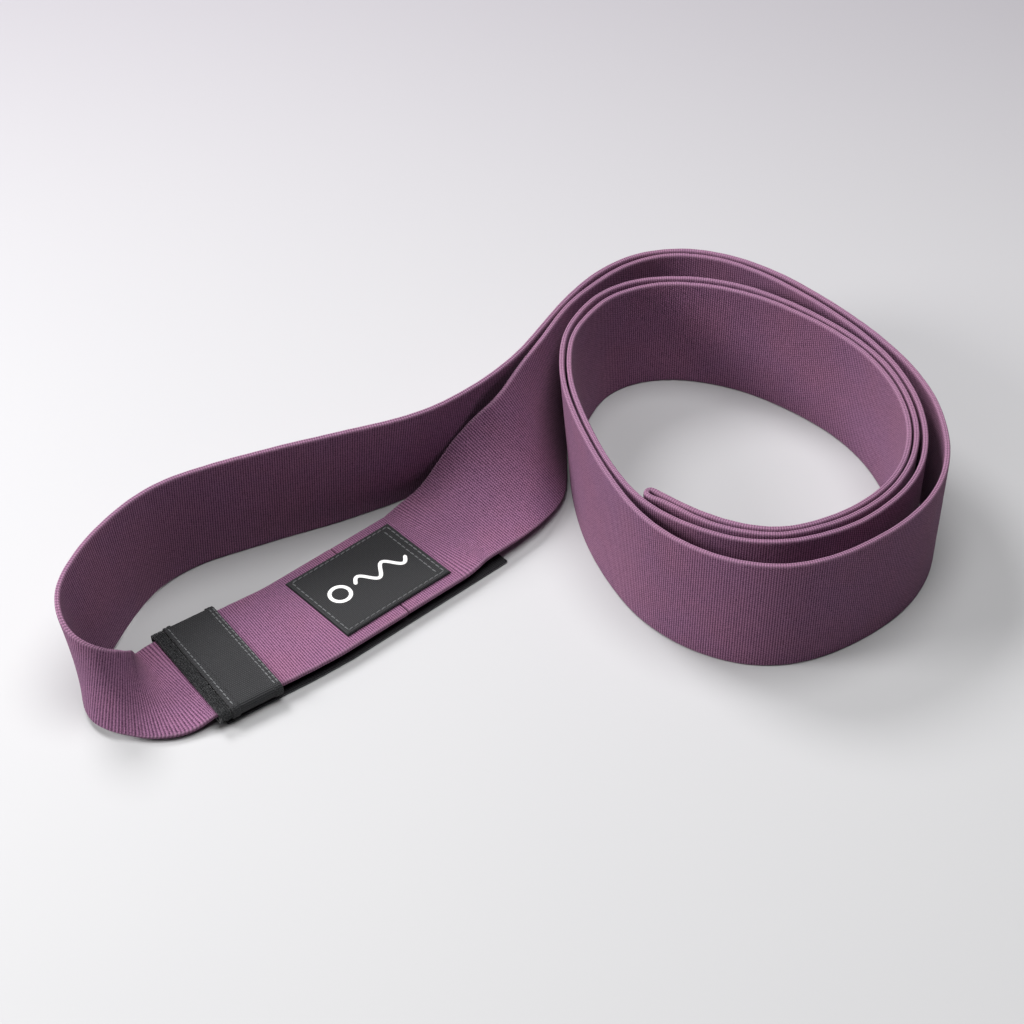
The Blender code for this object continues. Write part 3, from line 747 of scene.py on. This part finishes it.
def make_backing():
    """Two thin near-black layers with a thin grey cord between their edges; the cord is a painted
    highlight line and the black is partly painted shade.
    """
    places, sides = backing_line()
    # near-black: partly the backing's own dark cloth, partly painted shade for the shaded band under the
    # run's near edge
    black = cloth_material("backing_black_cloth_and_shade", (0.004, 0.004, 0.005), (0.014, 0.014, 0.017),
                           0.9, 0.9, 0.12, gloss=0.3)
    middle = BACKING_LOW + BACKING_THICK / 2
    lower, length = layer("backing_lower_layer", places, sides, BACKING_WIDTH / 2,
                          BACKING_LOW, middle - 0.12, black, 0.2)
    upper, _ = layer("backing_upper_layer", places, sides, BACKING_WIDTH / 2,
                     middle + 0.12, BACKING_LOW + BACKING_THICK, black, 0.2)
    # a thin grey cord at mid-height along each edge: a painted highlight line between the two dark layers
    cord_points = []
    cord_faces = []
    for edge in (-1, 1):
        row = [p + edge * (BACKING_WIDTH / 2 - 0.1) * side for p, side in zip(places, sides)]
        add_tube(cord_points, cord_faces, [np.array([p[0], p[1], middle]) for p in row], 0.16)
    highlight_cord = make_piece("backing_edge_highlight_cord", cord_points, cord_faces,
                         thread_material("backing_highlight_cord_grey", (0.05, 0.05, 0.055),
                                         (0.16, 0.16, 0.17)))
    return lower, upper, highlight_cord, length


def add_tube(points, faces, path, radius, sides=6):
    """Adds a round thread along a path, closed at both ends, to a point and face list."""
    first = len(points)
    up = np.array([0.0, 0.0, 1.0])
    for i, place in enumerate(path):
        ahead = unit(path[min(i + 1, len(path) - 1)] - path[max(i - 1, 0)])
        side = unit(np.cross(ahead, up))
        lift = np.cross(side, ahead)
        for k in range(sides):
            a = 2.0 * math.pi * k / sides
            points.append(place + radius * (math.cos(a) * side + math.sin(a) * lift))
    rings = len(path)
    faces += (grid_faces(rings, sides) + first).tolist()
    faces.append([first + k for k in range(sides)])
    faces.append([first + (rings - 1) * sides + k for k in range(sides)])


def add_stitches(points, faces, rows, up, radius=STITCH_RADIUS):
    """Separate lockstitches along straight rows; each one dives into the cloth at both ends."""
    for start, end in rows:
        length = np.linalg.norm(end - start)
        count = max(1, round(length / STITCH_PITCH))
        along = (end - start) / length
        side = np.cross(up, along)
        for k in range(count):
            middle = start + along * length * (k + 0.5) / count
            reach = STITCH_LONG / 2 * length / count / STITCH_PITCH
            path = [(-1.0, -1.5, 0.35), (-0.92, -0.35, 0.8), (-0.5, 0.25, 1.0), (0.0, 0.4, 1.0),
                    (0.5, 0.25, 1.0), (0.92, -0.35, 0.8), (1.0, -1.5, 0.35)]
            first = len(points)
            for a, h, size in path:
                centre = middle + along * a * reach + up * h * radius + side * a * 0.08
                for j in range(6):
                    turn = math.pi * j / 3
                    points.append(centre + radius * size * (math.cos(turn) * side
                                                            + math.sin(turn) * up))
            faces += (grid_faces(len(path), 6) + first).tolist()
            faces.append([first + j for j in range(6)])
            faces.append([first + (len(path) - 1) * 6 + j for j in range(6)])


def label_rows(height):
    a = LABEL_LENGTH / 2 - LABEL_INSET
    b = LABEL_WIDTH / 2 - LABEL_INSET
    corners = [LABEL.point(s, v, height) for s, v in ((-a, -b), (a, -b), (a, b), (-a, b))]
    rim = list(zip(corners, corners[1:] + corners[:1]))
    row = [(LABEL.point(-a + LABEL_ROW_GAP, -b + 1.5, height),
            LABEL.point(-a + LABEL_ROW_GAP, b - 1.5, height))]
    return rim, row


def label_top(s, v):
    """Height of the label's upper face: pressed down along its stitches, a little crowned inside."""
    edge_s = LABEL_LENGTH / 2 - abs(s)
    edge_v = LABEL_WIDTH / 2 - abs(v)
    edge = min(edge_s, edge_v)
    top = LABEL_LOW + LABEL_THICK
    fold = 0.28 * math.exp(-((edge - 0.8) / 0.6) ** 2)
    dip = 0.16 * math.exp(-((edge - LABEL_INSET) / 0.55) ** 2)
    if s < 0:
        second = LABEL_LENGTH / 2 + s - LABEL_INSET - LABEL_ROW_GAP
        dip += 0.14 * math.exp(-(second / 0.55) ** 2)
    round_off = 0.5 * max(0.0, 1.0 - edge / 0.7) ** 2
    return top + fold * 0.6 - dip - round_off


def make_label():
    count_s, count_v = 101, 75
    s_marks = np.linspace(-1, 1, count_s) * LABEL_LENGTH / 2
    v_marks = np.linspace(-1, 1, count_v) * LABEL_WIDTH / 2
    points = []
    uv = []
    for low in (False, True):
        for s in s_marks:
            for v in v_marks:
                h = LABEL_LOW if low else label_top(s, v)
                bow_s = 0.12 * math.cos(math.pi * v / LABEL_WIDTH) * s / LABEL_LENGTH * 2
                bow_v = 0.15 * math.cos(math.pi * s / LABEL_LENGTH) * v / LABEL_WIDTH * 2
                points.append(LABEL.point(s - bow_s, v - bow_v, h))
                uv.append((s, v))
    top = grid_faces(count_s, count_v, wrap_columns=False)
    faces = top.tolist() + (top[:, ::-1] + count_s * count_v).tolist()
    border = ([i * count_v for i in range(count_s)]
              + [(count_s - 1) * count_v + j for j in range(1, count_v)]
              + [i * count_v + count_v - 1 for i in range(count_s - 2, -1, -1)]
              + list(range(count_v - 2, 0, -1)))
    deep = count_s * count_v
    for a, b in zip(border, border[1:] + border[:1]):
        faces.append([a, b, b + deep, a + deep])
    cloth = cloth_material("black_label_woven", (0.004, 0.004, 0.005), (0.020, 0.021, 0.023),
                           LABEL_PITCH, LABEL_PITCH, 0.14)
    return make_piece("label_woven_patch", points, faces, cloth, uv)


def ribbon_print(path_points, closed=False):
    """A flat printed line with round corners, lying just over the label."""
    base = LABEL_LOW + LABEL_THICK - 0.03
    top = base + 0.12
    half = MOTIF_LINE / 2
    profile = [(-half, base), (-half + 0.12, top), (half - 0.12, top), (half, base)]
    points = []
    uv = []
    count = len(path_points)
    for i, (s, v) in enumerate(path_points):
        if closed:
            s0, v0 = path_points[i - 1]
            s1, v1 = path_points[(i + 1) % count]
        else:
            s0, v0 = path_points[max(i - 1, 0)]
            s1, v1 = path_points[min(i + 1, count - 1)]
        length = math.hypot(s1 - s0, v1 - v0)
        side = (-(v1 - v0) / length, (s1 - s0) / length)
        taper = 1.0
        if not closed:
            end = min(i, count - 1 - i) * 0.35
            taper = math.sqrt(max(0.06, 1.0 - max(0.0, 1.0 - end / half) ** 2))
        for offset, h in profile:
            spot = (s + side[0] * offset * taper, v + side[1] * offset * taper)
            points.append(LABEL.point(spot[0], spot[1], h))
            uv.append(spot)
    size = len(profile)
    faces = grid_faces(count, size, wrap_rows=closed).tolist()
    if not closed:
        faces.append(list(range(size)))
        faces.append(list(range((count - 1) * size, count * size)))
    return points, faces, uv


def make_motif():
    wave = []
    for t in np.linspace(0.0, 1.0, 120):
        s = MOTIF_WAVE_LENGTH * (0.5 - t) - MOTIF_SHIFT
        wave.append((s, MOTIF_SWING * math.sin(4.0 * math.pi * t)))
    ring = [(MOTIF_RING_AT + MOTIF_RING * math.cos(a), MOTIF_RING * math.sin(a))
            for a in np.linspace(0.0, 2.0 * math.pi, 72, endpoint=False)]
    white = print_material()
    pieces = []
    for name, path, closed in (("label_print_wave", wave, False), ("label_print_ring", ring, True)):
        points, faces, uv = ribbon_print(path, closed)
        pieces.append(make_piece(name, points, faces, white, uv))
    return pieces


# ---- the keeper -------------------------------------------------------------------------
def tube_section(half_w, half_h, radius, steps=6, across=22):
    """A rounded rectangle of (v, h) points with its long sides divided."""
    loop = []
    for turn, (a, b) in enumerate(((1, 1), (-1, 1), (-1, -1), (1, -1))):
        for k in range(steps + 1):
            angle = math.radians(90.0 * (turn + k / steps))
            loop.append((a * (half_w - radius) + radius * math.cos(angle),
                         b * (half_h - radius) + radius * math.sin(angle)))
        if turn in (0, 2):
            span = 2.0 * (half_w - radius)
            start, height = loop[-1]
            sign = -a
            for k in range(1, across):
                loop.append((start + sign * span * k / across, height))
    return loop


def keeper_tube(marks, outer, inner_w, inner_h):
    """A woven tube; outer(s) gives the wall's thickness and how far it stands up in the middle."""
    rings = []
    uv = []
    for s in marks:
        wall, crown = outer(s)
        section = tube_section(inner_w + wall, inner_h + wall, min(inner_h + wall - 0.05, 2.2))
        reach = inner_w + wall
        around = 0.0
        before = section[0]
        for v, h in section:
            around += math.hypot(v - before[0], h - before[1])
            before = (v, h)
            lift = crown * (1.0 - (v / reach) ** 2) * (1.0 if h > 0 else 0.0)
            rings.append(KEEPER.point(s, v, h + lift))
            uv.append((s, around))
    inside = tube_section(inner_w, inner_h, 0.6)
    for s in (marks[-1], marks[0]):
        for v, h in inside:
            rings.append(KEEPER.point(s, v, h))
            uv.append((s, v))
    size = len(inside)
    faces = grid_faces(len(marks) + 2, size, wrap_rows=True).tolist()
    return rings, faces, uv


KEEPER_INNER_W = STRAP_WIDTH / 2 * (1.0 - NECKING) + KEEPER_SIDE_CLEAR
KEEPER_INNER_H = STRAP_THICK / 2 + KEEPER_CLEAR


def keeper_wall(s):
    """The sleeve's wall: a folded hem at each mouth, pressed in along the stitches."""
    half = KEEPER_LENGTH / 2
    edge = half - abs(s)
    hem = 1.0 - smooth((edge - KEEPER_HEM + 0.3) / 0.6)
    wall = KEEPER_WALL + KEEPER_RIM * float(hem)
    wall -= 0.35 * max(0.0, 1.0 - edge / 0.5) ** 2
    if s < 0:
        dips = (0.8, 2.2)
    else:
        dips = (1.5,)
    for place in dips:
        wall -= 0.16 * math.exp(-((edge - place) / 0.4) ** 2)
    crown = 0.25 * (1.0 - (s / half) ** 2)
    return wall, crown


def make_keeper():
    half = KEEPER_LENGTH / 2
    marks = np.linspace(-half, half, 85)
    points, faces, uv = keeper_tube(marks, keeper_wall, KEEPER_INNER_W, KEEPER_INNER_H)
    cloth = cloth_material("black_keeper_woven", (0.005, 0.005, 0.006), (0.028, 0.029, 0.032),
                           KEEPER_PITCH, KEEPER_PITCH, 0.2, turned=True)
    return make_piece("keeper_woven_sleeve", points, faces, cloth, uv)


def pile_wall(s):
    edge = min(s - KEEPER_LENGTH / 2 - PIECE_GAP,
               KEEPER_LENGTH / 2 + PIECE_GAP + PILE_LENGTH - s)
    return PILE_WALL * 0.72 - 0.2 * max(0.0, 1.0 - edge / 0.5) ** 2, 0.0


def make_pile():
    """The fuzzy edge: a woven ground with short crooked hairs all over it."""
    start = KEEPER_LENGTH / 2 + PIECE_GAP
    marks = np.linspace(start, start + PILE_LENGTH, 19)
    points, faces, uv = keeper_tube(marks, pile_wall, KEEPER_INNER_W, KEEPER_INNER_H)
    cloth = cloth_material("black_pile_ground", (0.003, 0.003, 0.004), (0.016, 0.017, 0.019),
                           0.9, 0.9, 0.3, sheen=0.3)
    ground = make_piece("keeper_pile_ground", points, faces, cloth, uv)
    random = np.random.default_rng(7)
    section = np.array(tube_section(KEEPER_INNER_W + 0.75, KEEPER_INNER_H + 0.75, 2.2))
    steps = np.diff(np.vstack([section, section[:1]]), axis=0)
    lengths = np.linalg.norm(steps, axis=1)
    spots = random.random((PILE_HAIRS, 6))
    picks = np.searchsorted(np.cumsum(lengths) / lengths.sum(), spots[:, 0])
    hair_points = []
    hair_faces = []
    for pick, (_, share, s_share, lean_a, lean_b, tall) in zip(picks, spots):
        v, h = section[pick] + share * steps[pick]
        along = steps[pick] / max(lengths[pick], 1e-9)
        out = np.array([along[1], -along[0]])
        s = start + 0.1 + (PILE_LENGTH - 0.2) * s_share
        root = KEEPER.point(s, v, h)
        outward = out[0] * KEEPER.across + out[1] * KEEPER.up
        sideways = along[0] * KEEPER.across + along[1] * KEEPER.up
        lean = (lean_a - 0.5) * 0.9 * KEEPER.along + (lean_b - 0.5) * 0.9 * sideways
        first = len(hair_points)
        for height, radius in ((0.0, 0.09), (0.35, 0.08), (0.62 + 0.3 * tall, 0.05)):
            centre = root + height * outward * 0.55 + lean * height ** 1.5
            for k in range(3):
                a = 2.0 * math.pi * k / 3
                hair_points.append(centre + radius * (math.cos(a) * KEEPER.along
                                                      + math.sin(a) * sideways))
        hair_faces += (grid_faces(3, 3) + first).tolist()
        hair_faces.append([first, first + 1, first + 2])
        hair_faces.append([first + 6, first + 7, first + 8])
    fuzz = make_piece("keeper_pile_hairs", hair_points, hair_faces,
                      thread_material("black_pile_fibre", (0.010, 0.010, 0.012),
                                      (0.075, 0.078, 0.082)))
    return ground, fuzz


def keeper_rows():
    """The three stitch rows over the sleeve's upper side, each as (name, node, start, end)."""
    half = KEEPER_LENGTH / 2
    reach = KEEPER_INNER_W - 1.0
    rows = []
    for name, node, s in (("keeper_stitches_outer", "keeper_hem_row_outer", -half + 0.8),
                          ("keeper_stitches_inner", "keeper_hem_row_inner", -half + 2.2),
                          ("keeper_stitches_far", "keeper_far_row", half - 1.5)):
        wall, crown = keeper_wall(s)
        path = []
        for v in np.linspace(-reach, reach, 21):
            lift = crown * (1.0 - (v / (KEEPER_INNER_W + wall)) ** 2)
            path.append(KEEPER.point(s, v, KEEPER_INNER_H + wall + lift + 0.1))
        rows.append((name, node, list(zip(path[:-1], path[1:]))))
    return rows


def make_stitches(name, rows, up, material):
    points = []
    faces = []
    add_stitches(points, faces, rows, up)
    return make_piece(name, points, faces, material)


# ---- putting it together ----------------------------------------------------------------
def assign(piece, body, slot, *nodes):
    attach(piece, body)
    if nodes:
        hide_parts(*nodes)


def build_strap_side():
    strap, length = make_strap()
    assign(strap, "strap", "purple_webbing", "strap_webbing")

    lower, upper, highlight_cord, backing_length = make_backing()
    assign(lower, "strap", "black_backing", "backing_strip")
    assign(upper, "strap", "black_backing")
    # the grey cord is a painted highlight line along the backing's edges
    assign(highlight_cord, "strap", "grey_thread")

    label = make_label()
    assign(label, "strap", "black_label", "label_patch")
    wave, ring = make_motif()
    assign(wave, "strap", "white_print", "label_motif_wave")
    assign(ring, "strap", "white_print", "label_motif_ring")
    label_thread = thread_material("label_thread_grey", (0.05, 0.052, 0.055), (0.17, 0.175, 0.18))
    height = LABEL_LOW + LABEL_THICK - 0.02
    rim, row = label_rows(height)
    rim_stitches = make_stitches("label_stitches_rim", rim, LABEL.up, label_thread)
    row_stitches = make_stitches("label_stitches_end", row, LABEL.up, label_thread)
    assign(rim_stitches, "strap", "grey_thread", "label_stitch_perimeter")
    assign(row_stitches, "strap", "grey_thread", "label_stitch_end_row")

    plum = thread_material("plum_thread_twisted", (0.10, 0.05, 0.09), (0.28, 0.15, 0.25))
    depth = -(STRAP_THICK / 2 + 0.05)
    reach = STRAP_WIDTH / 2 * (1.0 - NECKING) - 2.0
    for name, node, s in (("joint_stitches_keeper_side", "joint_stitch_keeper_side", JOINT_ROW_AT),
                          ("joint_stitches_coil_side", "joint_stitch_coil_side", -JOINT_ROW_AT)):
        row = [(LABEL.point(s, -reach, depth), LABEL.point(s, reach, depth))]
        stitches = make_stitches(name, row, -LABEL.up, plum)
        assign(stitches, "strap", "plum_thread", node)


def build_keeper_side():
    sleeve = make_keeper()
    assign(sleeve, "keeper", "black_keeper", "keeper_sleeve")
    ground, fuzz = make_pile()
    assign(ground, "keeper", "black_pile", "keeper_pile_edge")
    assign(fuzz, "keeper", "black_pile")
    keeper_thread = thread_material("keeper_thread_grey", (0.05, 0.052, 0.056), (0.20, 0.205, 0.21))
    for name, node, rows in keeper_rows():
        stitches = make_stitches(name, rows, KEEPER.up, keeper_thread)
        assign(stitches, "keeper", "grey_thread", node)
    wall, _ = keeper_wall(0.0)


# ---- floor, light and camera ------------------------------------------------------------
def make_floor():
    mesh = bpy.data.meshes.new("floor")
    half = 4.0
    mesh.from_pydata([(-half, -half, 0), (half, -half, 0), (half, half, 0), (-half, half, 0)],
                     [], [(0, 1, 2, 3)])
    mesh.materials.append(floor_material())
    floor = bpy.data.objects.new("floor", mesh)
    bpy.context.scene.collection.objects.link(floor)


def aim(thing, place, target):
    thing.location = place
    direction = Vector(target) - Vector(place)
    thing.rotation_euler = direction.to_track_quat("-Z", "Y").to_euler()


def add_light(name, place, target, size, power, colour):
    data = bpy.data.lights.new(name, "AREA")
    data.shape = "DISK"
    data.size = size
    data.energy = power
    data.color = colour
    light = bpy.data.objects.new(name, data)
    bpy.context.scene.collection.objects.link(light)
    aim(light, place, target)


def make_lights():
    add_light("left_key_softbox", (-0.95, -0.18, 0.55), (0.02, 0.0, 0.02), 0.45, 10.5, (1.0, 0.995, 0.99))
    add_light("left_front_softbox", (-0.55, -0.75, 0.90), (0.02, 0.0, 0.02), 0.5, 2.0, (1.0, 0.995, 0.99))
    add_light("left_back_softbox", (-0.55, 0.60, 0.95), (0.02, 0.0, 0.02), 0.5, 12.0, (1.0, 0.99, 1.0))
    add_light("top_softbox", (0.15, 0.0, 1.40), (0.05, 0.0, 0.0), 1.0, 18.5, (1.0, 1.0, 1.0))
    world = bpy.data.worlds.new("studio")
    world.use_nodes = True
    back = world.node_tree.nodes["Background"]
    back.inputs["Color"].default_value = (0.93, 0.93, 1.0, 1.0)
    back.inputs["Strength"].default_value = 0.01
    bpy.context.scene.world = world
    bpy.context.scene.view_settings.view_transform = "Standard"


def make_camera():
    """Looks down at 42 degrees from straight in front, like the reference view."""
    data = bpy.data.cameras.new("camera")
    data.sensor_width = 36.0
    data.lens = CAMERA_LENS
    camera = bpy.data.objects.new("camera", data)
    bpy.context.scene.collection.objects.link(camera)
    target = np.array(SHIFT) * MM
    angle = math.radians(CAMERA_ELEVATION)
    away = np.array([0.0, -math.cos(angle), math.sin(angle)]) * CAMERA_DISTANCE
    aim(camera, target + away, target)
    bpy.context.scene.camera = camera


SHIFT = route_shift()
make_camera()
make_floor()
make_lights()
build_strap_side()
build_keeper_side()
